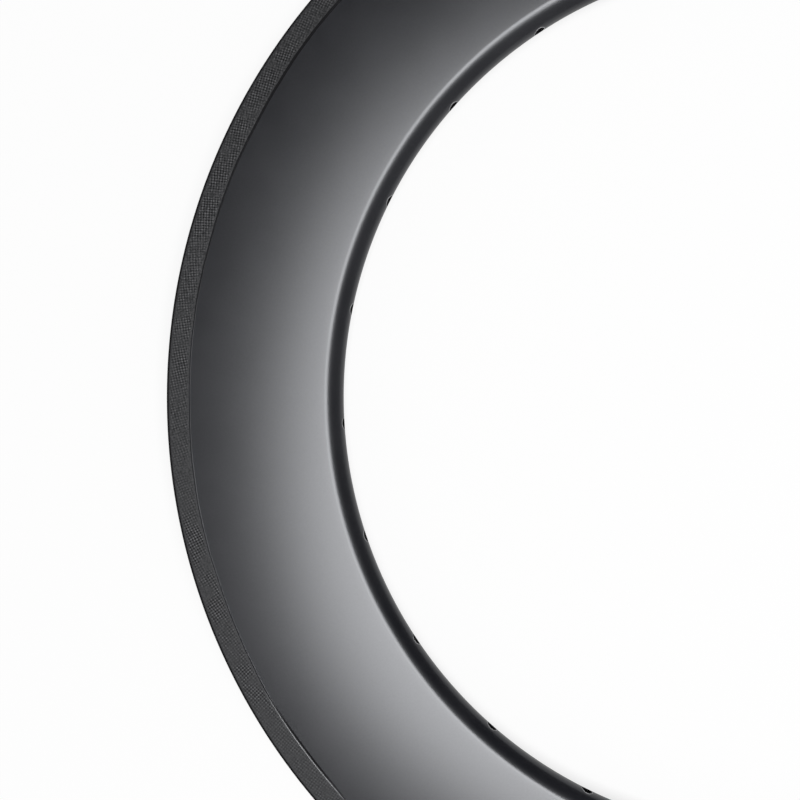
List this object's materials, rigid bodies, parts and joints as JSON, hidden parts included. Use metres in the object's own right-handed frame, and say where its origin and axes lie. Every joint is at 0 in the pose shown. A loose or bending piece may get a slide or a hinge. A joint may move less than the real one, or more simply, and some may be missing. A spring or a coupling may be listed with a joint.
{
  "type": "bicycle rim",
  "caption": "Deep-section carbon clincher rim for a road wheel: a hollow ring with a rounded nose, flat brake tracks, hooked tyre channel, spoke holes and a valve hole.",
  "frame": {"origin": "wheel centre: on the axle line, in the rim's middle plane", "axes": "+Z along the axle, +X from the centre through the valve hole; the rim lies flat, its axle upright"},
  "size_m": [0.6339, 0.634, 0.025],
  "materials": {
    "carbon": "matte black carbon fibre under a satin clear coat, with woven cloth on the brake tracks"
  },
  "bodies": {
    "root": {"rim": "carbon"}
  },
  "joints": []
}
